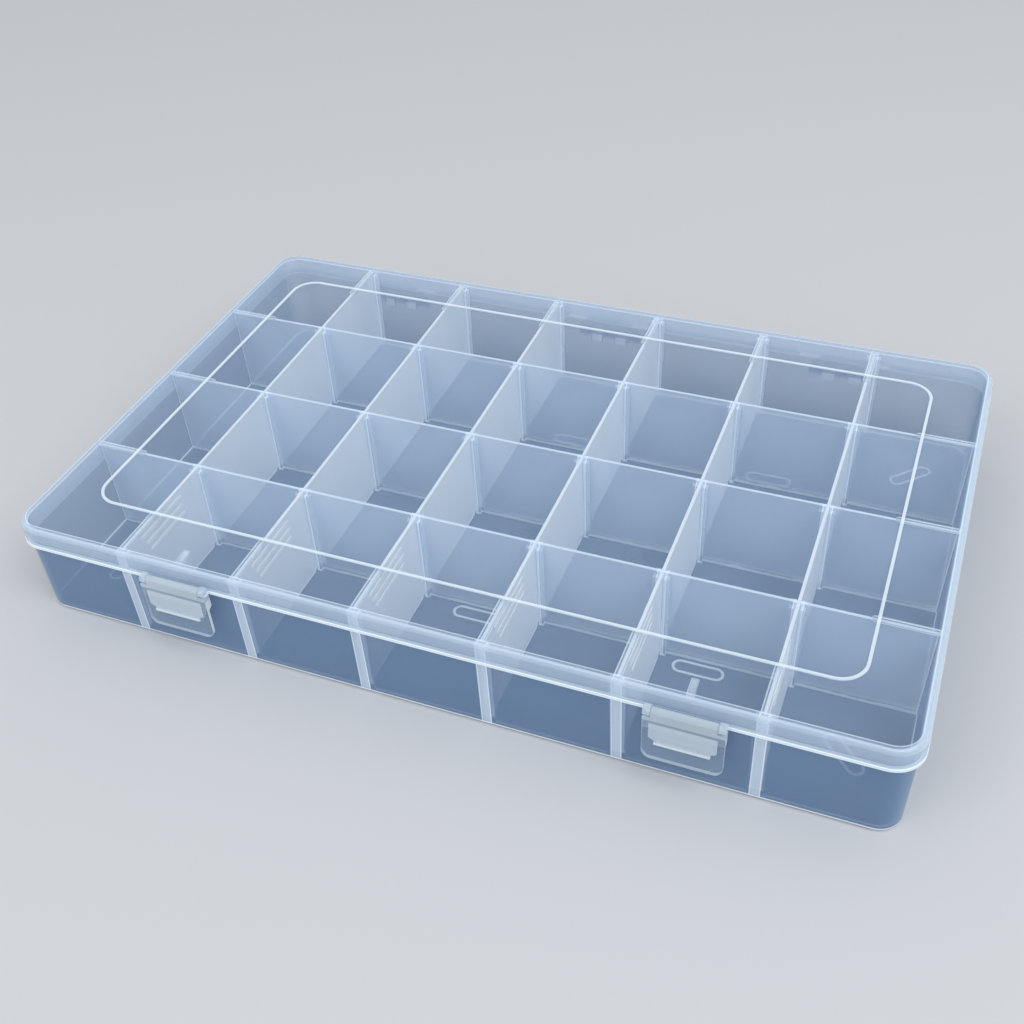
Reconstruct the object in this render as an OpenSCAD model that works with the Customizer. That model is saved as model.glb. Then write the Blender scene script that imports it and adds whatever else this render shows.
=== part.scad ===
// Compartment organizer for beads and small parts: a moulded tray with fixed row walls and
// loose cross dividers, under one lid that hinges at the back and latches at the front.
// Millimetres. X runs left to right, Y front to back, Z up. The origin lies on the table
// under the middle of the tray.

/* [Overall] */
// Length of the lid at its top edge, left to right
lid_length = 344.2; // [280:0.1:420]
// Width of the lid at its top edge, front to back
lid_width = 220.2; // [180:0.1:270]
// Height of the lid's flat top above the table
lid_top = 44.8; // [37:0.1:56]

/* [Cells] */
// Columns of cells, left to right
columns = 7; // [4:1:10]
// Rows of cells, front to back
rows = 4; // [2:1:6]
// How much narrower each end column is than a middle column
end_column_trim = 0.85; // [0:0.05:3]
// How much deeper the front and back rows are than a middle row
outer_row_gain = 0.35; // [0:0.05:3]

/* [Tray] */
// Thickness of the outer walls
tray_wall = 1.3; // [1:0.05:2]
// How far each outer wall leans out between its foot and its rim
tray_lean = 0.75; // [0.3:0.05:1]
// Outer corner radius at the rim
tray_corner_r = 9.6; // [6:0.1:16]
// Rounding of the edge between the floor and the outer walls
tray_edge_r = 1.6; // [0.8:0.1:2.4]
// Thickness of the floor
floor_t = 1.2; // [0.9:0.05:2]
// Thickness of a row wall at its top
row_wall = 1.2; // [0.9:0.05:2]
// Draft on each face of a row wall, from its top to its foot
row_draft = 0.3; // [0.1:0.05:0.6]

/* [Feet] */
// Length of an oval ring foot
foot_length = 20; // [12:0.5:26]
// Width of an oval ring foot
foot_width = 6.5; // [5:0.1:10]
// Thickness of the ring
foot_ring = 1.1; // [0.8:0.1:2]
// How far the feet hold the floor off the table
foot_height = 0.5; // [0.3:0.1:1.5]
// Distance of the straight feet from the middle line
foot_row_y = 59; // [50:0.5:66]
// Distance between neighbouring straight feet
foot_pitch_x = 89.5; // [70:0.5:100]
// Distance of the corner feet in from the tray's ends
corner_foot_in_x = 23.5; // [20:0.5:30]
// Distance of the corner feet in from the tray's front and back
corner_foot_in_y = 28.3; // [20:0.5:32]

/* [Guides] */
// Width of one guide rib
guide_width = 2; // [1.2:0.1:3]
// How far a guide rib stands out from the foot of its wall
guide_depth = 1.6; // [1:0.1:2.4]
// Height above the table at which the guide slot narrows
guide_step_z = 20; // [10:0.5:28]
// Clearance of a divider on each side in the narrow part of its slot
slot_play = 0.15; // [0.1:0.05:0.4]
// Extra clearance on each side above the step
slot_lead_in = 0.25; // [0.1:0.05:0.6]
// Distance of the ribs' tops below the rim
guide_top_gap = 1.5; // [0.5:0.1:6]

/* [Dividers] */
// Thickness of a loose divider
divider_t = 1.2; // [0.8:0.05:1.6]
// Gap between a divider's ends and the walls
divider_end_play = 0.2; // [0.1:0.05:0.6]
// Gap under a divider
divider_foot_play = 0.2; // [0.1:0.05:0.5]
// Set-back of the divider's ends below the guide step
divider_step = 0.4; // [0.2:0.05:0.8]
// Size of the cut-away lower corners
divider_corner = 2.5; // [1:0.1:5]
// Number of grip ribs on a divider
grip_count = 3; // [1:1:4]
// Length of the top grip rib
grip_length = 27.5; // [14:0.5:30]
// How much shorter each lower grip rib is than the one above it
grip_stagger = 1.7; // [0:0.1:3]
// Width of a grip rib
grip_width = 1.4; // [0.8:0.1:2]
// Distance between grip ribs
grip_pitch = 4.1; // [3:0.1:5]
// Distance of the top grip rib below the divider's top
grip_drop = 3.7; // [2:0.1:6]
// How far a grip rib stands out
grip_proud = 0.3; // [0.2:0.05:0.5]
// Distance from the divider's end to its top grip rib
grip_inset = 10.5; // [6:0.5:14]

/* [Lid] */
// Thickness of the lid's plate
lid_plate = 1.2; // [0.9:0.05:1.8]
// Thickness of the lid's skirt
skirt_t = 1.1; // [0.9:0.05:1.6]
// Height of the skirt below the flat top
skirt_drop = 9.6; // [8:0.1:13]
// How far the skirt leans out towards its lower edge
skirt_lean = 0.15; // [0:0.05:0.4]
// Rounding of the lid's top edge
lid_edge_r = 2.4; // [1.2:0.1:3]
// Rounding inside the lid, between the plate and the skirt
lid_inner_r = 0.8; // [0.3:0.1:1]
// Gap between the skirt and the tray's rim
skirt_gap = 0.35; // [0.25:0.05:0.8]
// Height of the bead along the skirt's lower edge
bead_height = 1.3; // [0.8:0.1:2]
// How far the bead stands out
bead_proud = 0.3; // [0.2:0.05:0.6]
// Distance of the stacking ridge in from the lid's ends
ridge_in_x = 22.8; // [15:0.1:30]
// Distance of the stacking ridge in from the lid's front and back
ridge_in_y = 23.5; // [15:0.1:30]
// Corner radius of the stacking ridge
ridge_corner_r = 10; // [6:0.5:16]
// Width of the stacking ridge
ridge_width = 1.2; // [0.8:0.1:2]
// Height of the stacking ridge
ridge_height = 0.7; // [0.4:0.1:1.2]
// Rounding of the ridge's upper edges
ridge_edge_r = 0.25; // [0.1:0.05:0.35]
// Gap between the lid's plate and the tops of the walls
wall_head_room = 0.5; // [0.4:0.05:1.2]
// Width of the stand-off ribs under the lid's outer band
bar_width = 3; // [2:0.1:4]
// Gap between the stand-off ribs and the walls below them
bar_gap = 0.1; // [0.05:0.05:0.3]
// How far the stand-off ribs run in past the stacking ridge
bar_overrun = 2.5; // [0:0.1:5]
// Depth of the locating lugs below the lid's plate
lug_depth = 2.6; // [1.5:0.1:4]
// Length of the locating lugs, front to back
lug_length = 7.2; // [4:0.1:10]
// Length of a lug's flat lower end
lug_toe = 1; // [0.5:0.1:2]

/* [Latches] */
// Width of a latch
latch_width = 28; // [22:0.5:40]
// Length of a latch below its pivot
latch_length = 22; // [19:0.1:24]
// Radius of the latch's barrel
barrel_r = 1.6; // [1.4:0.05:2]
// Gap between the barrel and the skirt
barrel_gap = 0.3; // [0.25:0.05:0.8]
// Height of the pivot above the skirt's lower edge
pivot_rise = 1.7; // [1.6:0.1:4]
// Radius of the latch's trunnions
trunnion_r = 0.9; // [0.7:0.05:1]
// Radial clearance of the trunnions in the ears
trunnion_play = 0.05; // [0.02:0.01:0.1]
// Thickness of an ear on the lid
ear_t = 2.6; // [2:0.1:4]
// Side gap between a latch and its ears
ear_play = 0.2; // [0.1:0.05:0.4]
// Thickness of the closed end of an ear's hole
ear_cap = 0.5; // [0.3:0.05:1]
// Thickness of the latch's tab
tab_t = 1.2; // [0.9:0.05:1.8]
// How far the tab's lower end flares out
tab_flare = 0.4; // [0:0.05:0.7]
// Corner radius of the tab
tab_corner_r = 3.5; // [2:0.1:5]
// Length of the tab's flared end
tab_flare_length = 4; // [2:0.1:5]
// Distance of the thick shoulder block's back behind the pivot
block_back = 1.5; // [1:0.1:1.6]
// Depth of the shoulder block below the pivot
block_drop = 7.4; // [5:0.1:8]
// Height over which the block tapers into the tab
block_taper = 1; // [0.5:0.1:2]
// Distance of the grip pad's top edge below the pivot
pad_drop = 3.6; // [2.8:0.1:4.5]
// Height of the grip pad
pad_height = 9; // [7:0.1:10]
// Thickness of the grip pad on the tab
pad_proud = 0.35; // [0.2:0.05:0.8]
// Margin of bare tab on each side of the pad
pad_margin = 2.4; // [1.5:0.1:3]
// Distance of the pad's crease below its top edge
pad_crease = 2.8; // [1:0.1:4]
// Height of the finger groove above the lip
groove_height = 1.1; // [0.5:0.1:2]
// Height of the pad's cut lower corners
pad_cut = 1.5; // [0.5:0.1:2.5]
// Margin of bare tab on each side of the finger lip
lip_margin = 4.4; // [3:0.1:6]
// Height of the finger lip
lip_height = 1.4; // [0.8:0.1:2]
// Further thickness of the finger lip below the pad
lip_proud = 0.35; // [0.2:0.05:0.8]
// Depth by which the hook reaches under the catch
hook_bite = 1; // [0.5:0.05:1.4]
// Gap between the hook and the catch
hook_gap = 0.2; // [0.1:0.05:0.4]
// Thickness of the hook at its tip
hook_tip_t = 0.8; // [0.5:0.1:1.2]
// Thickness of the hook at the tab
hook_root_t = 2.8; // [1.5:0.1:3.5]
// Distance from the latch's pivot down to the catch's underside
catch_drop = 12.9; // [11:0.1:14]
// How far the catch stands out from the tray's wall
catch_proud = 2.2; // [1.5:0.1:2.6]
// Width of the catch
catch_width = 19; // [12:0.5:20]
// Height of the catch's front face
catch_face = 1.5; // [1:0.1:2]
// Height of the catch where it meets the wall
catch_root = 4.8; // [3:0.1:5]

/* [Hinges] */
// Distance from the middle hinge to each of the outer two
hinge_pitch = 109.3; // [90:0.1:120]
// Distance of the hinge pins below the rim
pin_below_rim = 16.1; // [14.5:0.1:20]
// Distance of the hinge pins behind the lid's back edge
pin_behind_lid = 1.3; // [1:0.1:2.5]
// Radius of a hinge pin
pin_r = 1.25; // [1:0.05:1.5]
// Radial clearance of the pin in its hooks
pin_play = 0.05; // [0.02:0.01:0.1]
// Outer radius of a hook
hook_r = 2.4; // [2.2:0.05:2.8]
// Width of a hook
hook_width = 5.8; // [4:0.1:7]
// Distance between neighbouring hooks
hook_pitch = 11.7; // [10:0.1:14]
// Side gap between a hook and a bracket arm
hook_play = 0.2; // [0.1:0.05:0.4]
// Mouth of a hook, narrower than the pin so that it snaps on
hook_mouth = 2; // [1.4:0.1:2.2]
// Thickness of a hinge leaf
leaf_t = 1.2; // [1:0.05:1.8]
// Depth of the bracket arms' gussets below the pins
gusset_drop = 3.8; // [2:0.1:5]
// Gap between a leaf's lower edge and the bracket arms
leaf_play = 0.9; // [0.6:0.1:1.5]
// Height of the straight foot of a leaf
leaf_foot_height = 2; // [1:0.1:3]
// Width of a hinge leaf at the skirt
leaf_top_width = 20; // [14:0.5:24]
// Width of the stiffening rib in the middle of a leaf
leaf_rib_width = 4; // [2:0.5:6]
// How far that rib stands out
leaf_rib_proud = 0.8; // [0.4:0.1:1.5]
// Width of the gap in the skirt's lower edge round a leaf
leaf_notch_width = 40; // [36:0.5:46]
// Depth of that gap
leaf_notch = 1.2; // [0.8:0.1:2]

/* [Hidden] */
$fn = 64;
// How far one shape runs into the next where they join, and how far a cut runs past its body
overlap = 0.3;
beyond = 1;

floor_z = foot_height;
floor_top = floor_z + floor_t;
lid_under = lid_top - lid_plate;
rim_z = lid_under - wall_head_room;
skirt_z = lid_top - skirt_drop;

// Plan half sizes: the tray's rim sits inside the lid's skirt by the skirt gap.
lid_hx = lid_length / 2;
lid_hy = lid_width / 2;
rim_inset = skirt_t + skirt_gap;
tray_hx = lid_hx - rim_inset;
tray_hy = lid_hy - rim_inset;
corner_x = tray_hx - tray_corner_r;
corner_y = tray_hy - tray_corner_r;
lid_corner_r = tray_corner_r + rim_inset;

// Distance of the tray's outer face from its rim position, at a height
function lean_at(z) = tray_lean * (rim_z - z) / (rim_z - floor_z);
// Distance of the middle of the front or back wall from the middle line, at a height
function wall_middle(z) = tray_hy - tray_wall / 2 - lean_at(z);
inner_hx = tray_hx - tray_wall;
inner_hy = tray_hy - tray_wall;
inner_foot_hy = inner_hy - lean_at(floor_top);

column_pitch = (2 * inner_hx + row_wall + 2 * end_column_trim) / columns;
row_pitch = (2 * inner_hy + row_wall - 2 * outer_row_gain) / rows;
function line_x(c) = (c - columns / 2) * column_pitch;
function line_y(r) = (r - rows / 2) * row_pitch;
function column_x(c) = line_x(c - 0.5);
function row_y(r) = line_y(r - 0.5);

// Latches stand opposite the second column from either end, and the middle hinge on the middle line.
latch_xs = [column_x(2), column_x(columns - 1)];
hinge_xs = [-hinge_pitch, 0, hinge_pitch];

pivot_y = -(lid_hy + skirt_lean + barrel_gap + barrel_r);
pivot_z = skirt_z + pivot_rise;
pin_y = lid_hy + pin_behind_lid;
pin_z = rim_z - pin_below_rim;
// Half the height of the bracket arms at the pin: a little less than the pin itself
arm_half = pin_r * 0.9;

function divider_name(r, c) = str("divider_r", r, "_c", c);

// Points of a round stretch in an outline
function arc(cx, cy, r, from, to, steps = 6) =
    [for (i = [0 : steps]) let (a = from + (to - from) * i / steps) [cx + r * cos(a), cy + r * sin(a)]];

// Runs a profile round a rounded rectangle. The profile's x is measured outward from the
// rectangle's corner centres at (cx, cy), and its y is height.
module around(cx, cy) {
    for (turn = [0, 180])
        rotate([0, 0, turn]) {
            translate([cx, cy, 0]) rotate_extrude(angle = 90) children();
            translate([-cx, cy, 0]) rotate([0, 0, 90]) rotate_extrude(angle = 90) children();
            translate([-cx, cy, 0]) rotate([90, 0, 90]) linear_extrude(2 * cx) children();
            translate([cx, cy, 0]) rotate([90, 0, 0]) linear_extrude(2 * cy) children();
        }
}

// Extrudes an outline drawn in Y and Z along X, centred on x
module along_x(x, width) {
    translate([x - width / 2, 0, 0]) rotate([90, 0, 90]) linear_extrude(width) children();
}

// Extrudes an outline drawn in X and Z along Y, from y0 to y1
module along_y(y0, y1) {
    translate([0, y1, 0]) rotate([90, 0, 0]) linear_extrude(y1 - y0) children();
}

// A flat strip with round ends along X
module stadium(length, width) {
    square([length - width, width], center = true);
    for (s = [-1, 1]) translate([s * (length - width) / 2, 0]) circle(d = width);
}

// Centres a rectangle on x and gives its lower and upper edge
module band(width, low, high) {
    translate([-width / 2, low]) square([width, high - low]);
}

/* ---- Tray ---- */

// Section of floor and outer wall, with the rounded foot edge and softened rim
module tray_section() {
    foot_x = tray_corner_r - tray_lean;
    rim_r = tray_wall / 4;
    polygon(concat(
        [[0, floor_z]],
        arc(foot_x - tray_edge_r, floor_z + tray_edge_r, tray_edge_r, -90, 0),
        arc(tray_corner_r - rim_r, rim_z - rim_r, rim_r, 0, 90, 3),
        arc(tray_corner_r - tray_wall + rim_r, rim_z - rim_r, rim_r, 90, 180, 3),
        [[tray_corner_r - tray_wall - lean_at(floor_top), floor_top], [0, floor_top]]
    ));
}

// Drafted wall between two rows of cells, its ends let into the side walls
module row_wall_body(y) {
    top = row_wall / 2;
    foot = top + row_draft;
    along_x(0, 2 * inner_hx + tray_wall / 6)
        translate([y, 0])
            polygon([[-foot, floor_top - overlap], [foot, floor_top - overlap], [top, rim_z], [-top, rim_z]]);
}

// Side outline of one line of guide ribs between two heights, on every wall that it crosses
module guide_side(low, high) {
    tip = inner_foot_hy - guide_depth;
    for (r = [1 : rows - 1])
        translate([line_y(r), 0]) band(row_wall + 2 * row_draft + 2 * guide_depth, low, high);
    for (f = [0, 1])
        mirror([f, 0])
            polygon([[tip, low], [wall_middle(low), low], [wall_middle(high), high], [tip, high]]);
}

// Guide ribs: a narrow slot that holds the divider, and a wider one above it that lets it in
module guides() {
    narrow = divider_t + 2 * slot_play;
    wide = narrow + 2 * slot_lead_in;
    for (c = [1 : columns - 1], s = [-1, 1]) {
        along_x(line_x(c) + s * (narrow + guide_width) / 2, guide_width)
            guide_side(floor_top - overlap, guide_step_z);
        along_x(line_x(c) + s * (wide + guide_width) / 2, guide_width)
            guide_side(guide_step_z, rim_z - guide_top_gap);
    }
}

// Oval ring feet: a row of three along the front and the back, and one across each corner
module feet() {
    corner_x = tray_hx - corner_foot_in_x;
    corner_y = tray_hy - corner_foot_in_y;
    places = concat(
        [for (sy = [-1, 1], i = [-1 : 1]) [i * foot_pitch_x, sy * foot_row_y, 0]],
        [for (sx = [-1, 1], sy = [-1, 1]) [sx * corner_x, sy * corner_y, sx * sy * 45]]
    );
    linear_extrude(foot_height + overlap)
        for (p = places)
            translate([p[0], p[1]]) rotate(p[2])
                difference() {
                    stadium(foot_length, foot_width);
                    stadium(foot_length - 2 * foot_ring, foot_width - 2 * foot_ring);
                }
}

// Wedge on the front wall that a latch's hook snaps under
module catch(x) {
    under = pivot_z - catch_drop;
    root = -wall_middle(under);
    face = -(tray_hy - lean_at(under) + catch_proud);
    along_x(x, catch_width)
        polygon([[root, under], [face, under], [face, under + catch_face], [root, under + catch_root]]);
}

// Two gusseted arms on the back wall with the pin that the lid's hooks turn on
module hinge_bracket(x) {
    root = wall_middle(pin_z);
    for (s = [-1, 1])
        along_x(x + s * hook_pitch / 2, hook_pitch - hook_width - 2 * hook_play)
            polygon([[root, pin_z - gusset_drop], [pin_y, pin_z - arm_half], [pin_y, pin_z + arm_half],
                     [root, pin_z + arm_half]]);
    along_x(x, 2 * hook_pitch + hook_width + 2 * hook_play)
        translate([pin_y, pin_z]) circle(pin_r);
}

module base_tray() {
    color([0.80, 0.86, 0.92, 0.55]) {
        around(corner_x, corner_y) tray_section();
        translate([-corner_x, -corner_y, floor_z]) cube([2 * corner_x, 2 * corner_y, floor_t]);
        for (r = [1 : rows - 1]) row_wall_body(line_y(r));
        guides();
        feet();
        for (x = latch_xs) catch(x);
        for (x = hinge_xs) hinge_bracket(x);
    }
}

/* ---- Dividers ---- */

// Half of a divider's outline, from its middle line to one end
module divider_half() {
    foot_z = floor_top + divider_foot_play;
    top = (row_pitch - row_wall) / 2 - divider_end_play;
    foot = top - row_draft;
    step = top - row_draft * (rim_z - guide_step_z) / (rim_z - floor_top);
    polygon([
        [-overlap, foot_z], [foot - divider_step - divider_corner, foot_z],
        [foot - divider_step, foot_z + divider_corner],
        [step - divider_step, guide_step_z - divider_step], [step, guide_step_z],
        [top, rim_z], [-overlap, rim_z]
    ]);
}

// Loose cross divider. Those of the front row stand with their grip ribs to the right, near
// the front; the others are the same piece turned round.
module divider(r, c) {
    turn = r == 1 ? 0 : 180;
    end = (row_pitch - row_wall) / 2 - divider_end_play;
    grip_back = grip_inset + grip_length - end;
    color([0.90, 0.93, 0.95, 0.8])
        translate([line_x(c), row_y(r), 0]) rotate([0, 0, turn]) {
            along_x(0, divider_t) {
                divider_half();
                mirror([1, 0]) divider_half();
            }
            for (i = [0 : grip_count - 1]) {
                length = grip_length - i * grip_stagger;
                along_x(divider_t / 2, 2 * grip_proud)
                    translate([grip_back - length / 2, rim_z - grip_drop - i * grip_pitch])
                        stadium(length, grip_width);
            }
        }
}

/* ---- Lid ---- */

// Section of plate and skirt
module lid_section() {
    outer = lid_corner_r;
    inner = outer - skirt_t;
    polygon(concat(
        [[0, lid_under]],
        arc(inner - lid_inner_r, lid_under - lid_inner_r, lid_inner_r, 90, 0, 4),
        [[inner + skirt_lean, skirt_z], [outer + skirt_lean, skirt_z]],
        arc(outer - lid_edge_r, lid_top - lid_edge_r, lid_edge_r, 0, 90),
        [[0, lid_top]]
    ));
}

// Section of the bead on the skirt's lower edge
module bead_section() {
    face = lid_corner_r + skirt_lean + bead_proud;
    soft = bead_proud / 2;
    root = lid_corner_r - skirt_t / 2;
    polygon([[root, skirt_z], [face - soft, skirt_z], [face, skirt_z + soft],
             [face, skirt_z + bead_height - bead_proud], [root, skirt_z + bead_height + bead_proud]]);
}

// Section of the stacking ridge
module ridge_section() {
    half = ridge_width / 2;
    edge_x = half - ridge_edge_r;
    edge_z = lid_top + ridge_height - ridge_edge_r;
    translate([ridge_corner_r, 0])
        polygon(concat(
            [[-half, lid_top - overlap], [half, lid_top - overlap]],
            arc(edge_x, edge_z, ridge_edge_r, 0, 90, 3),
            arc(-edge_x, edge_z, ridge_edge_r, 90, 180, 3)
        ));
}

// Plan of one stand-off rib along +X, from its round inner end out to the skirt
module bar_plan(from, to) {
    translate([from + bar_width / 2, -bar_width / 2]) square([to - from - bar_width / 2, bar_width]);
    translate([from + bar_width / 2, 0]) circle(d = bar_width);
}

// Stand-off ribs under the outer band, over each wall and each line of dividers
module bars() {
    inner_x = lid_hx - ridge_in_x - bar_overrun;
    inner_y = lid_hy - ridge_in_y - bar_overrun;
    translate([0, 0, rim_z + bar_gap])
        linear_extrude(lid_under - rim_z - bar_gap + overlap) {
            for (s = [0, 180], r = [1 : rows - 1])
                rotate(s) translate([0, line_y(r)]) bar_plan(inner_x, lid_hx - skirt_t + overlap);
            for (s = [90, 270], c = [1 : columns - 1])
                rotate(s) translate([0, line_x(c)]) bar_plan(inner_y, lid_hy - skirt_t + overlap);
        }
}

// Lug under the lid, just behind the front wall, that keeps the wall from bowing in when the
// latch is pulled
module locating_lug(x) {
    front = -(inner_hy - skirt_gap);
    along_x(x, bar_width - skirt_gap)
        polygon([[front, lid_under + overlap], [front, lid_under - lug_depth],
                 [front + lug_toe, lid_under - lug_depth], [front + lug_length, lid_under - wall_head_room],
                 [front + lug_length, lid_under + overlap]]);
}

// Ear that holds one trunnion of a latch in a blind hole, open towards the latch
module ear(x, side) {
    root = -(lid_hy - skirt_t / 2);
    difference() {
        along_x(x, ear_t) {
            translate([pivot_y, pivot_z]) circle(barrel_r);
            translate([pivot_y, pivot_z - barrel_r]) square([root - pivot_y, 2 * barrel_r]);
        }
        along_x(x - side * ear_cap, ear_t) translate([pivot_y, pivot_z]) circle(trunnion_r + trunnion_play);
    }
}

// Leaf hanging from the back of the skirt, with its three snap hooks
module hinge_leaf(x) {
    face = lid_hy + skirt_lean;
    back = face - leaf_t;
    leaf_foot = pin_z + arm_half + leaf_play;
    foot_top = leaf_foot + leaf_foot_height;
    foot_width = 2 * hook_pitch + hook_width;
    root_z = skirt_z + leaf_notch + overlap;
    rib_face = face + leaf_rib_proud;
    rib_end = leaf_t;
    translate([x, 0, 0]) {
        along_y(back, face)
            polygon([[-leaf_top_width / 2, root_z], [leaf_top_width / 2, root_z],
                     [foot_width / 2, foot_top], [foot_width / 2, leaf_foot],
                     [-foot_width / 2, leaf_foot], [-foot_width / 2, foot_top]]);
        along_x(0, leaf_rib_width)
            polygon([[back, skirt_z - rib_end], [rib_face, skirt_z], [rib_face, root_z + overlap],
                     [back, root_z + overlap + rib_end]]);
        for (i = [-1 : 1]) hinge_hook(i * hook_pitch, face, leaf_foot);
    }
}

// Snap hook round the pin, with a web up to the leaf and a mouth towards the tray's foot
module hinge_hook(x, face, leaf_foot) {
    inner = pin_y - hook_r;
    shoulder = hook_r * cos(45);
    along_x(x, hook_width)
        difference() {
            union() {
                translate([pin_y, pin_z]) circle(hook_r);
                polygon([[inner, pin_z], [pin_y, pin_z], [pin_y + shoulder, pin_z + shoulder],
                         [face, leaf_foot + overlap], [face - leaf_t, leaf_foot + overlap],
                         [inner, leaf_foot]]);
            }
            translate([pin_y, pin_z]) {
                circle(pin_r + pin_play);
                rotate(-120) translate([0, -hook_mouth / 2]) square([2 * hook_r, hook_mouth]);
            }
        }
}

// The bead, left out where the latches and the hinge leaves come through it
module bead() {
    difference() {
        around(corner_x, corner_y) bead_section();
        for (x = latch_xs)
            translate([x - latch_width / 2, -(lid_hy + skirt_lean + bead_proud + beyond), skirt_z - beyond])
                cube([latch_width, bead_proud + beyond, bead_height + bead_proud + 2 * beyond]);
        for (x = hinge_xs) leaf_gap(x);
    }
}

// Space cut out of the skirt's lower edge round a hinge leaf
module leaf_gap(x) {
    depth = skirt_t + skirt_lean + bead_proud;
    translate([x - leaf_notch_width / 2, lid_hy - skirt_t - beyond, skirt_z - beyond])
        cube([leaf_notch_width, depth + 2 * beyond, leaf_notch + beyond]);
}

module lid() {
    ridge_x = lid_hx - ridge_in_x - ridge_corner_r;
    ridge_y = lid_hy - ridge_in_y - ridge_corner_r;
    ear_inset = (latch_width - ear_t) / 2;
    color([0.84, 0.89, 0.94, 0.5]) {
        difference() {
            union() {
                around(corner_x, corner_y) lid_section();
                translate([-corner_x, -corner_y, lid_under]) cube([2 * corner_x, 2 * corner_y, lid_plate]);
            }
            for (x = hinge_xs) leaf_gap(x);
        }
        bead();
        around(ridge_x, ridge_y) ridge_section();
        bars();
        for (x = latch_xs) {
            locating_lug(x);
            for (s = [-1, 1]) ear(x + s * ear_inset, s);
        }
        for (x = hinge_xs) hinge_leaf(x);
    }
}

/* ---- Latches ---- */

// Everything of a latch is drawn from its pivot: outlines seen from the side have their
// first coordinate towards the back and their second up.

// Side outline: barrel, thick shoulder block and thin flared tab
module latch_side() {
    tab_back = tab_t - barrel_r;
    bend = latch_length - tab_flare_length;
    circle(barrel_r);
    polygon([[-barrel_r, 0], [-barrel_r, -bend], [-barrel_r - tab_flare, -latch_length],
             [tab_back - tab_flare, -latch_length], [tab_back, -bend],
             [tab_back, -block_drop - block_taper], [block_back, -block_drop], [block_back, 0]]);
}

// Front outline: narrow between the ears, full width below them, with rounded lower corners
module latch_front() {
    shoulder = barrel_r + 2 * ear_play;
    neck = latch_width - 2 * (ear_t + ear_play);
    r = tab_corner_r;
    band(neck, -shoulder - overlap, barrel_r);
    band(latch_width, -latch_length + r, -shoulder);
    band(latch_width - 2 * r, -latch_length, -shoulder);
    for (s = [-1, 1]) translate([s * (latch_width / 2 - r), -latch_length + r]) circle(r);
}

// Side outline of the grip pad: it swells from its top edge to a crease, runs on flat, dips into
// the finger groove and ends in the lip
module pad_side() {
    root = tab_t / 2 - barrel_r;
    face = -barrel_r - pad_proud;
    lip_top = -pad_drop - pad_height;
    polygon([[root, -pad_drop], [-barrel_r, -pad_drop], [face, -pad_drop - pad_crease],
             [face, lip_top + groove_height], [-barrel_r - pad_proud / 3, lip_top],
             [face - lip_proud, lip_top - lip_height / 3], [face - lip_proud, lip_top - lip_height],
             [root, lip_top - lip_height]]);
}

// Front outline of the pad: cut lower corners, and the narrower lip below them
module pad_front() {
    pad_half = latch_width / 2 - pad_margin;
    lip_half = latch_width / 2 - lip_margin;
    pad_foot = -pad_drop - pad_height;
    polygon([[-pad_half, -pad_drop], [-pad_half, pad_foot + pad_cut], [-lip_half, pad_foot],
             [-lip_half, pad_foot - lip_height], [lip_half, pad_foot - lip_height], [lip_half, pad_foot],
             [pad_half, pad_foot + pad_cut], [pad_half, -pad_drop]]);
}

// Hook on the tab's inner side that reaches under the catch
module latch_hook() {
    catch_front = -(tray_hy - lean_at(pivot_z - catch_drop) + catch_proud) - pivot_y;
    tip = catch_front + hook_bite;
    top = -catch_drop - hook_gap;
    root = tab_t / 2 - barrel_r;
    along_x(0, catch_width)
        polygon([[root, top], [tip, top], [tip, top - hook_tip_t], [root, top - hook_root_t]]);
}

module latch(x) {
    trunnion_span = latch_width - 2 * (ear_cap + ear_play);
    front = -barrel_r - pad_proud - lip_proud - tab_flare;
    color([0.88, 0.92, 0.95, 0.7])
        translate([x, pivot_y, pivot_z]) {
            intersection() {
                along_x(0, latch_width) latch_side();
                along_y(front, barrel_r) latch_front();
            }
            intersection() {
                along_x(0, latch_width) pad_side();
                along_y(front, barrel_r) pad_front();
            }
            along_x(0, trunnion_span) circle(trunnion_r);
            latch_hook();
        }
}

base_tray();
lid();
latch(latch_xs[0]);  // latch_left
latch(latch_xs[1]);  // latch_right
for (r = [1 : rows], c = [1 : columns - 1])
    divider(r, c);
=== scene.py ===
"""Looks of a translucent compartment organizer: a ribbed tray with loose cross dividers under one
hinged lid with two snap latches, all moulded in polypropylene.

The plastic is clear but hazy. Broad walls let most light through. Every thin edge, rib and ridge
shows as a pale line, which the finishes below paint into the colour as a painted highlight, with
the extra density of plastic seen edge-on. The finishes find those places from the size and place
of each moulding. They read the outer sizes from the frame and repeat the others from the
moulding's own drawing.
"""

import logging
import math
from dataclasses import dataclass, field
from enum import Enum
from typing import Callable, Optional, Union

import bpy
from mathutils import Matrix, Vector


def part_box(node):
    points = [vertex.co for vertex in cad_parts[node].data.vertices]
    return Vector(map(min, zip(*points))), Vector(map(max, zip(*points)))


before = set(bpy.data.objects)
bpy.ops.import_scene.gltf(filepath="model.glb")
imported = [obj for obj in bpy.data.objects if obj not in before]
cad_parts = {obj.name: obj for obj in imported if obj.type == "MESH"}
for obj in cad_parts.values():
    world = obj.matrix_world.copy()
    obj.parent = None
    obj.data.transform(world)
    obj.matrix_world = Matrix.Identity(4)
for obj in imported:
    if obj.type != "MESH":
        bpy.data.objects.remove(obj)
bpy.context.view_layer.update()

log = logging.getLogger("organizer")

# One millimetre in metres
MM = 0.001
# Past this slant a surface gets no denser
LEAST_COSINE = 0.16
# Strength of the painted emission on the guide ribs, which brightens them where they lie in shade
# between the walls, though they are no lamp
PAINTED_GLOW_STRENGTH = 0.3
# Refractive index of polypropylene
PLASTIC_IOR = 1.49
BUMP_STRENGTH = 0.05
BUMP_DISTANCE = 0.05 * MM
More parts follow.
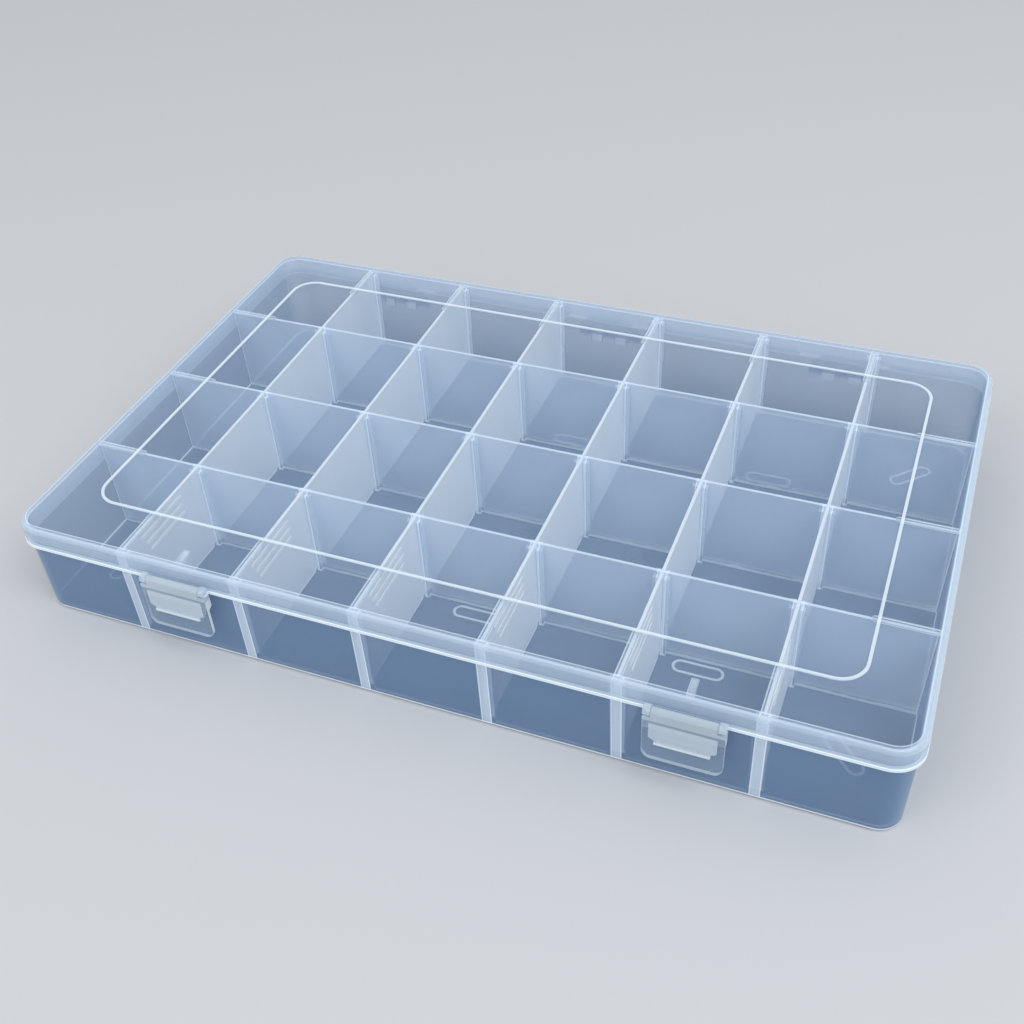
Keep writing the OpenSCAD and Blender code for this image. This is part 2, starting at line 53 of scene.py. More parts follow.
# Features per millimetre, and detail, of the noise that clouds the plastic and that makes it wavy
CLOUD_NOISE = (0.03, 2.0)
WAVE_NOISE = (0.15, 1.0)
# How far waves and edges change the roughness
WAVE_ROUGHNESS = 0.06
EDGE_ROUGHNESS = 0.05
# Ripples per millimetre, and their swing in millimetres, of the painted highlight lines at the foot
# of the walls
FOOT_LINE_RIPPLE = (0.12, 0.4)
# Sockets of a Mix node by kind of data: the two values it takes and the one it gives
MIX_SOCKETS = {"FLOAT": (2, 3, 0), "RGBA": (6, 7, 2)}

Colour = tuple[float, float, float]
Number = Union[float, "Signal"]
Paint = Union[Colour, "Signal"]


# ---------------------------------------------------------------------------------------------------
# Sizes, all in millimetres, read from the frame or repeated from the real mouldings


@dataclass(frozen=True)
class Span:
    """The lowest and highest corner of a moulding, in millimetres."""

    low: Vector
    high: Vector

    @classmethod
    def of(cls, node: str) -> "Span":
        """Reads the span of one CAD node at rest.

        Args:
            node: the node's name in the frame.

        Returns:
            Its span.
        """
        low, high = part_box(node)
        return cls(Vector(low) / MM, Vector(high) / MM)

    @property
    def middle(self) -> Vector:
        """The centre of the span."""
        return (self.low + self.high) / 2


@dataclass(frozen=True)
class Outline:
    """A rounded rectangle round the middle of the box, seen from above."""

    half_x: float
    half_y: float
    corner: float


@dataclass(frozen=True)
class Layout:
    """Where the mouldings' walls, lines and edges lie. The lean is a slope, not a length."""

    tray: Span = field(default_factory=lambda: Span.of("base_tray"))
    lid: Span = field(default_factory=lambda: Span.of("lid"))
    divider: Span = field(default_factory=lambda: Span.of("divider_r1_c1"))
    latch: Span = field(default_factory=lambda: Span.of("latch_left"))
    ridge_height: float = 0.7
    plate: float = 1.2
    skirt_drop: float = 9.6
    floor_top: float = 1.7
    bead_overhang: float = 0.45
    tray_inset: float = 1.45
    tray_wall: float = 1.3
    tray_lean: float = 0.021
    lid_corner: float = 11.05
    lid_width_ratio: float = 220.2 / 344.2
    foot_pitch: float = 89.5
    foot_row_y: float = 59.0
    corner_foot_inset_x: float = 23.5
    corner_foot_inset_y: float = 28.3
    foot_straight: float = 13.5
    foot_radius: float = 2.7
    foot_ring: float = 1.1

    @property
    def rim_z(self) -> float:
        """Height of the tray's rim and of the dividers' tops."""
        return self.tray.high.z

    @property
    def lid_top(self) -> float:
        """Height of the lid's flat top."""
        return self.lid.high.z - self.ridge_height

    @property
    def lid_outline(self) -> Outline:
        """The lid's top edge."""
        half_x = self.lid.high.x - self.bead_overhang
        return Outline(half_x, half_x * self.lid_width_ratio, self.lid_corner)

    @property
    def tray_outline(self) -> Outline:
        """The outside of the tray's rim.

        Returns:
            Its outline.
        """
        lid = self.lid_outline
        inset = self.tray_inset
        return Outline(lid.half_x - inset, lid.half_y - inset, lid.corner - inset)

    @property
    def row_pitch(self) -> float:
        """Distance from one row wall to the next."""
        return Span.of("divider_r3_c1").middle.y - Span.of("divider_r2_c1").middle.y

    @property
    def column_pitch(self) -> float:
        """Distance from one line of dividers to the next."""
        return Span.of("divider_r1_c2").low.x - Span.of("divider_r1_c1").low.x

    @property
    def skirt_z(self) -> float:
        """Height of the skirt's lower edge."""
        return self.lid_top - self.skirt_drop


# ---------------------------------------------------------------------------------------------------
# Shader values that read like formulas


class Signal:
    """A value or vector in a shader tree. Arithmetic on it adds the nodes that work it out."""

    def __init__(self, tree: bpy.types.NodeTree, socket: bpy.types.NodeSocket) -> None:
        """Wraps one output socket of the tree."""
        self.tree = tree
        self.socket = socket

    def feed(self, target: bpy.types.NodeSocket) -> None:
        """Links this value to an input socket."""
        self.tree.links.new(self.socket, target)

    def _calc(self, operation: str, *others: Number) -> "Signal":
        """Adds one math node that works on this value and the others.

        Args:
            operation: the node's operation.
            others: what the node takes after this value.

        Returns:
            The node's result.
        """
        node = self.tree.nodes.new("ShaderNodeMath")
        node.operation = operation
        for socket, value in zip(node.inputs, (self, *others)):
            put(value, socket)
        return Signal(self.tree, node.outputs[0])

    def __add__(self, other: Number) -> "Signal":
        """The sum."""
        return self._calc("ADD", other)

    def __sub__(self, other: Number) -> "Signal":
        """The difference."""
        return self._calc("SUBTRACT", other)

    def __mul__(self, other: Number) -> "Signal":
        """The product."""
        return self._calc("MULTIPLY", other)

    def size(self) -> "Signal":
        """The absolute value."""
        return self._calc("ABSOLUTE")

    def root(self) -> "Signal":
        """The square root."""
        return self._calc("SQRT")

    def at_least(self, other: Number) -> "Signal":
        """The larger of the two."""
        return self._calc("MAXIMUM", other)

    def at_most(self, other: Number) -> "Signal":
        """The smaller of the two."""
        return self._calc("MINIMUM", other)

    def folded(self, half: float) -> "Signal":
        """Runs to and fro between 0 and half, as a pleated ruler does."""
        return self._calc("PINGPONG", half)

    def either(self, other: "Signal") -> "Signal":
        """Of two masks, wherever one or the other shows."""
        return self.at_least(other)

    def outside(self) -> "Signal":
        """Of a mask, everything that it leaves."""
        return self * -1.0 + 1.0

    def power(self, other: Number) -> "Signal":
        """This value to the power of the other."""
        return self._calc("POWER", other)

    def line(self, at: float, half: float, soft: float = 0.05) -> "Signal":
        """A mask that is 1 along a line.

        Args:
            at: the value in the middle of the line.
            half: half the line's width.
            soft: half the width of its soft border.

        Returns:
            The mask.
        """
        return (self - at).size().below(half, soft)

    def above(self, edge: float, soft: float = 0.1) -> "Signal":
        """A mask that is 1 where the value is over an edge.

        Args:
            edge: the value at which the mask is one half.
            soft: half the width of its soft border.

        Returns:
            The mask.
        """
        node = self.tree.nodes.new("ShaderNodeMapRange")
        node.interpolation_type = "SMOOTHSTEP"
        put(self, node.inputs["Value"])
        node.inputs["From Min"].default_value = edge - soft
        node.inputs["From Max"].default_value = edge + soft
        return Signal(self.tree, node.outputs["Result"])

    def below(self, edge: float, soft: float = 0.1) -> "Signal":
        """A mask that is 1 where the value is under an edge."""
        return self.above(edge, soft).outside()

    def axes(self) -> tuple["Signal", "Signal", "Signal"]:
        """Takes a vector apart.

        Returns:
            Its three components.
        """
        node = self.tree.nodes.new("ShaderNodeSeparateXYZ")
        self.feed(node.inputs[0])
        return tuple(Signal(self.tree, out) for out in node.outputs)


def put(value: Union[Number, Paint], socket: bpy.types.NodeSocket) -> None:
    """Gives an input socket its value.

    Args:
        value: a signal, which is linked, or a plain number or colour, which is set.
        socket: the input socket.
    """
    if isinstance(value, Signal):
        value.feed(socket)
    elif isinstance(value, tuple):
        socket.default_value = (*value, 1.0)
    else:
        socket.default_value = value


def mixed(
    tree: bpy.types.NodeTree,
    factor: Signal,
    low: Union[Number, Paint],
    high: Union[Number, Paint],
    kind: str = "RGBA",
) -> Signal:
    """Adds a Mix node.

    Args:
        tree: the tree to add it to.
        factor: a mask.
        low: what shows where the mask is 0.
        high: what shows where the mask is 1.
        kind: FLOAT or RGBA.

    Returns:
        The mix.
    """
    node = tree.nodes.new("ShaderNodeMix")
    node.data_type = kind
    first, second, result = MIX_SOCKETS[kind]
    for socket, value in ((0, factor), (first, low), (second, high)):
        put(value, node.inputs[socket])
    return Signal(tree, node.outputs[result])


@dataclass(frozen=True)
class Point:
    """Where a shaded point lies on its moulding and which way it faces."""

    place: Signal
    x: Signal
    y: Signal
    z: Signal
    facing_x: Signal
    facing_y: Signal
    facing_z: Signal

    @classmethod
    def on(cls, tree: bpy.types.NodeTree) -> "Point":
        """Adds the nodes that read the point, in millimetres.

        Args:
            tree: the material's node tree.

        Returns:
            The point's signals.
        """
        source = tree.nodes.new("ShaderNodeTexCoord")
        scale = tree.nodes.new("ShaderNodeVectorMath")
        scale.operation = "SCALE"
        scale.inputs["Scale"].default_value = 1 / MM
        tree.links.new(source.outputs["Object"], scale.inputs[0])
        place = Signal(tree, scale.outputs[0])
        facing = Signal(tree, source.outputs["Normal"]).axes()
        return cls(place, *place.axes(), *facing)


# ---------------------------------------------------------------------------------------------------
# Node groups shared by the finishes


def new_group(name: str, inputs: dict[str, object], outputs: dict[str, str]) -> bpy.types.NodeTree:
    """Starts a shader node group.

    Args:
        name: the group's name.
        inputs: input names, each with its starting number, colour, or None for a vector.
        outputs: output names, each with its socket type.

    Returns:
        The group, with its input and output nodes in place.
    """
    group = bpy.data.node_groups.new(name, "ShaderNodeTree")
    for label, start in inputs.items():
        kind = "Vector" if start is None else "Color" if isinstance(start, tuple) else "Float"
        made = group.interface.new_socket(label, in_out="INPUT", socket_type=f"NodeSocket{kind}")
        if start is not None:
            made.default_value = (*start, 1.0) if isinstance(start, tuple) else start
    for label, kind in outputs.items():
        group.interface.new_socket(label, in_out="OUTPUT", socket_type=kind)
    group.nodes.new("NodeGroupInput")
    group.nodes.new("NodeGroupOutput")
    return group


class Groups:
    """The node groups, each made once."""

    def __init__(self) -> None:
        """Makes every group."""
        self.outline = self._outline_distance()
        self.plastic = self._hazy_plastic()

    @staticmethod
    def _ends(group: bpy.types.NodeTree) -> tuple[Callable[[str], Signal], bpy.types.Node]:
        """A function that reads the group's inputs, and its output node."""
        entry = group.nodes["Group Input"]
        return lambda label: Signal(group, entry.outputs[label]), group.nodes["Group Output"]

    def _outline_distance(self) -> bpy.types.NodeTree:
        """Makes the group that measures how far a place is from a rounded rectangle.

        Returns:
            The group. The rectangle lies round the origin, and the distance is negative inside it.
        """
        group = new_group(
            "outline_distance",
            {"Place": None, "Half X": 100.0, "Half Y": 100.0, "Corner": 10.0},
            {"Distance": "NodeSocketFloat"},
        )
        read, out = self._ends(group)
        x, y, _ = read("Place").axes()
        over_x = x.size() - read("Half X") + read("Corner")
        over_y = y.size() - read("Half Y") + read("Corner")
        out_x, out_y = over_x.at_least(0.0), over_y.at_least(0.0)
        reach = (out_x * out_x + out_y * out_y).root()
        inside = over_x.at_least(over_y).at_most(0.0)
        (reach + inside - read("Corner")).feed(out.inputs["Distance"])
        return group

    def _hazy_plastic(self) -> bpy.types.NodeTree:
        """Makes the group that turns three masks into the looks of moulded translucent plastic, with
        painted highlights along the edge mask and painted emission along the third.

        Returns:
            The group, which gives colour with its painted highlights, cover, gloss, waviness and the
            colour of the painted emission.
        """
        group = new_group(
            "hazy_plastic",
            {
                "Place": None,
                "Edge": 0.0,
                "Thick": 0.0,
                "Glow": 0.0,
                "Body Colour": (0.6, 0.7, 0.8),
                "Thick Colour": (0.8, 0.85, 0.9),
                "Edge Highlight Colour": (1.0, 1.0, 1.0),
                "Body Cover": 0.2,
                "Thick Cover": 0.5,
                "Edge Cover": 0.9,
                "Cloud": 0.1,
                "Roughness": 0.3,
                "Grain": 0.5,
            },
            {
                "Colour": "NodeSocketColor",
                "Cover": "NodeSocketFloat",
                "Roughness": "NodeSocketFloat",
                "Height": "NodeSocketFloat",
                "Painted Glow Colour": "NodeSocketColor",
            },
        )
        read, out = self._ends(group)

        def noise(scale: float, detail: float) -> Signal:
            """Adds noise.

            Args:
                scale: features per millimetre.
                detail: octaves of finer noise on top.

            Returns:
                The noise, from 0 to 1.
            """
            node = group.nodes.new("ShaderNodeTexNoise")
            node.inputs["Scale"].default_value = scale
            node.inputs["Detail"].default_value = detail
            read("Place").feed(node.inputs["Vector"])
            return Signal(group, node.outputs["Fac"])

        clouds, waves = noise(*CLOUD_NOISE), noise(*WAVE_NOISE)
        edge, thick = read("Edge"), read("Thick")
        colour = mixed(group, thick, read("Body Colour"), read("Thick Colour"))
        # Painted highlights: the edge mask turns the colour to the pale edge colour
        mixed(group, edge, colour, read("Edge Highlight Colour")).feed(out.inputs["Colour"])
        cover = mixed(group, thick, read("Body Cover"), read("Thick Cover"), "FLOAT")
        cover = cover * ((clouds - 0.5) * read("Cloud") * 2.0 + 1.0)
        mixed(group, edge, cover, read("Edge Cover"), "FLOAT").feed(out.inputs["Cover"])
        roughness = read("Roughness") + (waves - 0.5) * WAVE_ROUGHNESS + edge * EDGE_ROUGHNESS
        roughness.feed(out.inputs["Roughness"])
        (waves * read("Grain")).feed(out.inputs["Height"])
        # Colour of the painted emission, which makes ribs shine though they are no lamp
        mixed(group, read("Glow"), (0.0, 0.0, 0.0), read("Edge Highlight Colour")).feed(out.inputs["Painted Glow Colour"])
        return group


# ---------------------------------------------------------------------------------------------------
# Finishes


@dataclass(frozen=True)
class Finish:
    """One plastic's colours and covers. Cover is the share of light that one surface stops when it
    is looked at squarely, and the slant of the view adds to it. Cloud is how far the cover drifts to
    either side, and grain how deep the waves are.
    """

    name: str
    body: Colour
    thick: Colour
    # Pale colour of the painted highlights along thin edges, ribs and ridges, and of the painted
    # emission
    edge: Colour
    body_cover: float
    thick_cover: float
    edge_cover: float
    cloud: float
    roughness: float
    grain: float

    def fill(self, node: bpy.types.ShaderNodeGroup) -> None:
        """Sets this finish's values on a node.

        Args:
            node: a node of the hazy plastic group.
        """
        values = {
            "Body Colour": self.body,
            "Thick Colour": self.thick,
            "Edge Highlight Colour": self.edge,
            "Body Cover": self.body_cover,
            "Thick Cover": self.thick_cover,
            "Edge Cover": self.edge_cover,
            "Cloud": self.cloud,
            "Roughness": self.roughness,
            "Grain": self.grain,
        }
        for label, value in values.items():
            put(value, node.inputs[label])


# In each finish, edge is the pale colour of its painted highlights
class Plastic(Enum):
    """The plastics of the box."""

    TRAY = Finish(
        name="tray_plastic",
        body=(0.163, 0.272, 0.445),
        thick=(0.66, 0.79, 0.95),
        edge=(0.82, 0.91, 1.0),
        body_cover=0.36,
        thick_cover=0.26,
        edge_cover=0.76,
        cloud=0.12,
        roughness=0.30,
        grain=0.4,
    )
    LID = Finish(
        name="lid_plastic",
        body=(0.46, 0.64, 0.88),
        thick=(0.50, 0.64, 0.80),
        edge=(0.80, 0.90, 0.97),
        body_cover=0.07,
        thick_cover=0.15,
        edge_cover=0.66,
        cloud=0.20,
        roughness=0.26,
        grain=0.15,
    )
    DIVIDER = Finish(
        name="divider_plastic",
        body=(0.85, 0.92, 0.98),
        thick=(0.92, 0.96, 0.99),
        edge=(0.88, 0.94, 1.0),
        body_cover=0.46,
        thick_cover=0.58,
        edge_cover=0.68,
        cloud=0.20,
        roughness=0.40,
        grain=0.6,
    )
    LATCH = Finish(
        name="latch_plastic",
        body=(0.29, 0.39, 0.51),
        thick=(0.57, 0.67, 0.76),
        edge=(0.72, 0.81, 0.88),
        body_cover=0.16,
        thick_cover=0.46,
        edge_cover=0.68,
        cloud=0.15,
        roughness=0.30,
        grain=0.4,
    )


@dataclass(frozen=True)
class Masks:
    """Where a moulding looks different: the pale painted highlights along its thin edges, the places
    where it is thick, and the narrow ribs that get painted emission to brighten them in the shade
    between the walls.
    """

    edge: Signal
    thick: Signal
    painted_glow: Optional[Signal] = None


@dataclass
class Moulding:
    """One kind of moulded piece: the CAD nodes that it is made of, and their plastic."""

    layout: Layout
    groups: Groups
    nodes: list[str]
    plastic: Plastic

    def masks(self, tree: bpy.types.NodeTree, point: Point) -> Masks:
        """Finds the edges and thick places. Each kind of moulding has its own."""
        raise NotImplementedError

    def distance(self, tree: bpy.types.NodeTree, point: Point, outline: Outline) -> Signal:
        """Distance of the point from an outline seen from above.

        Args:
            tree: the material's node tree.
            point: the shaded point.
            outline: the rounded rectangle.

        Returns:
            The distance in millimetres, negative inside.
        """
        node = tree.nodes.new("ShaderNodeGroup")
        node.node_tree = self.groups.outline
        point.place.feed(node.inputs["Place"])
        node.inputs["Half X"].default_value = outline.half_x
        node.inputs["Half Y"].default_value = outline.half_y
        node.inputs["Corner"].default_value = outline.corner
        return Signal(tree, node.outputs["Distance"])

    def material(self) -> bpy.types.Material:
        """Builds the plastic's material with this moulding's masks.

        Returns:
            The material.
        """
        finish = self.plastic.value
        material = bpy.data.materials.new(finish.name)
        material.use_nodes = True
        tree = material.node_tree
        shader = tree.nodes["Principled BSDF"]
        point = Point.on(tree)
        masks = self.masks(tree, point)
        node = tree.nodes.new("ShaderNodeGroup")
        node.node_tree = self.groups.plastic
        point.place.feed(node.inputs["Place"])
        masks.edge.feed(node.inputs["Edge"])
        masks.thick.feed(node.inputs["Thick"])
        finish.fill(node)

        tree.links.new(node.outputs["Colour"], shader.inputs["Base Color"])
        tree.links.new(node.outputs["Roughness"], shader.inputs["Roughness"])
        shader.inputs["IOR"].default_value = PLASTIC_IOR
        # Painted emission on the guide ribs brightens them where they lie in shade; they are no lamp
        if masks.painted_glow is not None:
            masks.painted_glow.feed(node.inputs["Glow"])
            tree.links.new(node.outputs["Painted Glow Colour"], shader.inputs["Emission Color"])
            shader.inputs["Emission Strength"].default_value = PAINTED_GLOW_STRENGTH
        self._cover(tree, Signal(tree, node.outputs["Cover"])).feed(shader.inputs["Alpha"])

        bump = tree.nodes.new("ShaderNodeBump")
        bump.inputs["Strength"].default_value = BUMP_STRENGTH
        bump.inputs["Distance"].default_value = BUMP_DISTANCE
        tree.links.new(node.outputs["Height"], bump.inputs["Height"])
        tree.links.new(bump.outputs["Normal"], shader.inputs["Normal"])
        return material

    @staticmethod
    def _cover(tree: bpy.types.NodeTree, squarely: Signal) -> Signal:
        """The cover on a slanted path through the plastic.

        Light crosses more plastic on such a path, so the share that passes squarely is raised to
        the power of one over the cosine of the slant.

        Args:
            tree: the material's node tree.
            squarely: the cover of a surface that is looked at squarely.

        Returns:
            The cover as it is seen.
        """
        slant = tree.nodes.new("ShaderNodeLayerWeight")
        slant.inputs["Blend"].default_value = 0.5
        cosine = Signal(tree, slant.outputs["Facing"]).outside().at_least(LEAST_COSINE)
        return squarely.outside().power(cosine.power(-1.0)).outside()

    def dress(self) -> None:
        """Puts the plastic on every node of this kind."""
        material = self.material()
        for name in self.nodes:
            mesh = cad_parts[name].data
            mesh.materials.clear()
            mesh.materials.append(material)
            log.info("%s wears %s", name, material.name)


def foot_line_ripple(tree: bpy.types.NodeTree, point: Point) -> Signal:
    """A slow wobble of the painted highlight lines at the foot of the walls, which waver as the bright
    lines do in the real box.

    Args:
        tree: the material's node tree.
        point: the shaded point.

    Returns:
        The wobble in millimetres.
    """
    scale, swing = FOOT_LINE_RIPPLE
    node = tree.nodes.new("ShaderNodeTexNoise")
    node.inputs["Scale"].default_value = scale
    node.inputs["Detail"].default_value = 1.0
    point.place.feed(node.inputs["Vector"])
    return (Signal(tree, node.outputs["Fac"]) - 0.5) * (4 * swing)


def off_line(across: Signal, pitch: float) -> Signal:
    """Distance from the nearest of a row of lines, of which two lie half a pitch from the middle."""
    return (across + pitch / 2).folded(pitch / 2)


@dataclass
class Tray(Moulding):
    """Floor, outer walls, row walls, guide ribs, feet, catches and hinge brackets.

    The fields are sizes in millimetres. A strength is how far a mask turns the plastic to its edge
    look, a pale painted highlight, and a share how far it turns it to its thick look.
    """

    rim_depth: float = 0.5
    rim_highlight_strength: float = 0.64
    foot_edge_z: float = 1.5
    foot_edge_half: float = 0.7
    foot_edge_reach: float = 2.4
    wall_margin: float = 0.15
    floor_margin: float = 0.1
    seam_from_wall: float = 0.45
    seam_half: float = 0.28
    seam_highlight_strength: float = 0.7
    foot_line_height: float = 1.5
    ring_rise: float = 0.06
    ring_highlight_strength: float = 0.9
    end_clearance: float = 5.0
    rib_reach: float = 2.0
    rib_highlight_strength: float = 0.4
    rib_face: float = 1.75
    rib_face_half: float = 0.2
    rib_face_highlight_strength: float = 0.65
    fitting_reach: float = 0.3
    fitting_highlight_strength: float = 0.2
    skirt_lap: float = 0.3
    outer_face: float = 0.6
    inner_share: float = 0.6

    def masks(self, tree: bpy.types.NodeTree, point: Point) -> Masks:
        """Painted highlights: the rim and the tops of the row walls, the tray's foot edge, the outlines
        of the foot rings, the welds at the foot of the row walls, the guide ribs, the seams where the
        row walls meet the outer walls, and a little on the catches and hinge brackets. Thick: all that
        stands inside the outer walls, the catches and hinge brackets, and what lies behind the lid's
        skirt.
        Painted emission: the guide ribs.

        Args:
            tree: the material's node tree.
            point: the shaded point.

        Returns:
            The masks.
        """
        at = self.layout
        beyond = self.distance(tree, point, at.tray_outline)
        from_wall = beyond - (point.z - at.rim_z) * at.tray_lean + at.tray_wall
        off_floor = point.z.above(at.floor_top + self.floor_margin, soft=0.05)
        inner = from_wall.below(-self.wall_margin, soft=0.06) * off_floor

        # Painted highlight on the upward faces of the rim, where light falls from above
        rim = point.facing_z.above(0.6, soft=0.2) * point.z.above(at.rim_z - self.rim_depth)
        # Painted highlight line along the tray's foot edge
        foot_edge = point.z.line(self.foot_edge_z, self.foot_edge_half, soft=0.25)
        foot_edge = foot_edge * beyond.above(-self.foot_edge_reach, soft=0.3)
        # Painted highlight: the outlines of the ring feet drawn on the floor's upper face
        rings = self._painted_foot_ring_lines(point) * point.z.below(at.floor_top + self.ring_rise, soft=0.03)
        # Painted highlight lines where the row walls meet the outer walls
        seam = from_wall.line(-self.seam_from_wall, self.seam_half, soft=0.1) * off_floor
        wavering = point.z + foot_line_ripple(tree, point)
        # Painted highlight line, wavering, along the foot of the walls inside
        weld = wavering.below(at.floor_top + self.foot_line_height, soft=0.15) * inner
        # Painted highlight and painted emission on the guide ribs, which lie in shade between the walls
        rib_highlights = self._guide_rib_highlights(point) * off_floor
        fittings = beyond.above(self.fitting_reach, soft=0.2)

        # Painted highlights: every mask below turns the plastic to its pale edge colour
        edge = (rim * self.rim_highlight_strength).either(foot_edge).either(rings * self.ring_highlight_strength)
        edge = edge.either(weld).either(rib_highlights).either(seam * self.seam_highlight_strength)
        edge = edge.either(fittings * self.fitting_highlight_strength)
        outside_share = beyond.above(-self.outer_face, soft=0.2) * (1 - self.inner_share)
        in_skirt = point.z.above(at.skirt_z + self.skirt_lap, soft=0.2)
        in_skirt = in_skirt * (outside_share + self.inner_share)
        return Masks(edge=edge, thick=fittings.either(inner).either(in_skirt), painted_glow=rib_highlights)

    def _guide_rib_highlights(self, point: Point) -> Signal:
        """Painted highlights on the pairs of ribs that hold the dividers, with a stronger line along
        their faces. The tray also feeds this mask to its painted emission, to brighten the ribs in
        their shade.

        Args:
            point: the shaded point.

        Returns:
            The mask.
        """
        at = self.layout
        from_line = off_line(point.x, at.column_pitch)
        ribs = from_line.below(self.rib_reach, soft=0.2) * self.rib_highlight_strength
        faces = from_line.line(self.rib_face, self.rib_face_half, soft=0.1) * self.rib_face_highlight_strength
        last = at.tray_outline.half_x - self.end_clearance
        return ribs.either(faces) * point.x.size().below(last, soft=0.5)

    def _painted_foot_ring_lines(self, point: Point) -> Signal:
        """Painted highlight outlines of the oval ring feet, drawn on the floor above them, as the real
        rings lie in contact shadow: six along the front and back, one across each corner.

        Args:
            point: the shaded point.

        Returns:
            The mask.
        """
        at = self.layout
        straight = self._ring(point.x.folded(at.foot_pitch / 2), point.y.size() - at.foot_row_y)
        from_x = point.x.size() - (at.tray_outline.half_x - at.corner_foot_inset_x)
        from_y = point.y.size() - (at.tray_outline.half_y - at.corner_foot_inset_y)
        diagonal = math.sqrt(0.5)
        corner = self._ring((from_x + from_y) * diagonal, (from_x - from_y) * diagonal)
        return straight.either(corner)

    def _ring(self, along: Signal, across: Signal) -> Signal:
        """One foot's outline.

        Args:
            along: distance from the foot's middle along its length.
            across: distance from its middle across it.

        Returns:
            The mask of the ring.
        """
        at = self.layout
        past_end = (along.size() - at.foot_straight / 2).at_least(0.0)
        reach = (past_end * past_end + across * across).root()
        return reach.line(at.foot_radius, at.foot_ring / 2, soft=0.12)


@dataclass
class Lid(Moulding):
    """Plate, skirt with bead, stacking ridge, stand-off bars, ears, lugs and hinge leaves.

    The fields are sizes in millimetres, and a strength is how far a mask turns the plastic to its
    edge look, a pale painted highlight.
    """

    ridge_rise: float = 0.12
    ridge_highlight_strength: float = 0.85
    round_reach: float = 2.2
    round_highlight_strength: float = 0.3
    start_reach: float = 2.3
    start_half: float = 0.22
    start_depth: float = 0.3
    start_highlight_strength: float = 0.7
    bead_reach: float = 1.4
    bead_height: float = 1.45
    groove_height: float = 0.95
    groove_half: float = 0.06
    skirt_reach: float = 1.3
    under_margin: float = 0.02
    bar_edge: float = 1.3
    bar_edge_half: float = 0.2
    bar_edge_highlight_strength: float = 0.8
    bar_highlight_strength: float = 0.15
    lug_highlight_strength: float = 0.65
    ear_proud: float = 0.6
    ear_highlight_strength: float = 0.35
    leaf_drop: float = 0.1

    def masks(self, tree: bpy.types.NodeTree, point: Point) -> Masks:
        """Painted highlights: the ridge, the start and the band of the rounded top edge, the two lines
        of
        the bead, split by the groove, the stand-off bars with their sides, the lugs and the ears.
        Thick:
        skirt, bars and lugs. The hinge leaves and hooks stay clear.

        Args:
            tree: the material's node tree.
            point: the shaded point.

        Returns:
            The masks.
        """
        at = self.layout
        beyond = self.distance(tree, point, at.lid_outline)
        ridge = point.z.above(at.lid_top + self.ridge_rise, soft=0.05)
        rounded = beyond.above(-self.round_reach, soft=0.3)
        rounded = rounded * point.z.above(at.lid_top - self.round_reach, soft=0.4)
        start = beyond.line(-self.start_reach, self.start_half, soft=0.12)
        start = start * point.z.above(at.lid_top - self.start_depth)
        bead = beyond.above(-self.bead_reach) * point.z.below(at.skirt_z + self.bead_height)
        groove = point.z.line(at.skirt_z + self.groove_height, self.groove_half, soft=0.08)
        skirt = beyond.above(-self.skirt_reach)

        under_plate = at.lid_top - at.plate - self.under_margin
        hanging = point.z.below(under_plate, soft=0.02) * beyond.below(-self.bead_reach)
        bar = hanging * point.z.above(at.rim_z)
        lug = hanging * point.z.below(at.rim_z)
        upright = point.facing_z.size().above(0.6, soft=0.2).outside()
        ear = point.y.below(-at.lid_outline.half_y - self.ear_proud)
        leaf = point.z.below(at.skirt_z - self.leaf_drop) * point.y.above(0.0)

        # Painted highlights along the ridge, rounded edge, bead, bars, lugs and ears
        edge = (ridge * self.ridge_highlight_strength).either(start * self.start_highlight_strength)
        edge = edge.either(bead * groove.outside())
        edge = edge.either(bar * self._bar_borders(point).either(upright) * self.bar_edge_highlight_strength)
        edge = edge.either(bar * self.bar_highlight_strength).either(lug * self.lug_highlight_strength)
        edge = edge.either(rounded * self.round_highlight_strength)
        edge = (edge * leaf.outside()).either(ear * self.ear_highlight_strength)
        return Masks(edge=edge, thick=(skirt * leaf.outside()).either(hanging))

    def _bar_borders(self, point: Point) -> Signal:
        """Lines along both sides of the bars, which lie over the divider lines and row walls.

        Args:
            point: the shaded point.

        Returns:
            The mask.
        """
        at = self.layout
        columns = off_line(point.x, at.column_pitch).line(self.bar_edge, self.bar_edge_half)
        rows = off_line(point.y + at.row_pitch / 2, at.row_pitch)
        return columns.either(rows.line(self.bar_edge, self.bar_edge_half))


@dataclass
class Divider(Moulding):
    """The loose cross dividers. The sizes are in millimetres."""

    thin_highlight_strength: float = 0.66
    foot_height: float = 1.3
    grip_start: float = 0.68

    def masks(self, tree: bpy.types.NodeTree, point: Point) -> Masks:
        """Painted highlights: the thin faces all round, with the extra density of plastic seen edge-on,
        and
        a wavering line along the foot. Thick: the grip ribs.

        Args:
            tree: the material's node tree.
            point: the shaded point.

        Returns:
            The masks.
        """
        at = self.layout
        thin = point.facing_x.size().below(0.6, soft=0.2)
        wavering = point.z + foot_line_ripple(tree, point)
        foot = wavering.below(at.divider.low.z + self.foot_height, soft=0.15)
        grip = off_line(point.x, at.column_pitch).above(self.grip_start, soft=0.04)
        # Painted highlights on the thin faces and along the foot
        return Masks(edge=(thin * grip.outside() * self.thin_highlight_strength).either(foot), thick=grip)


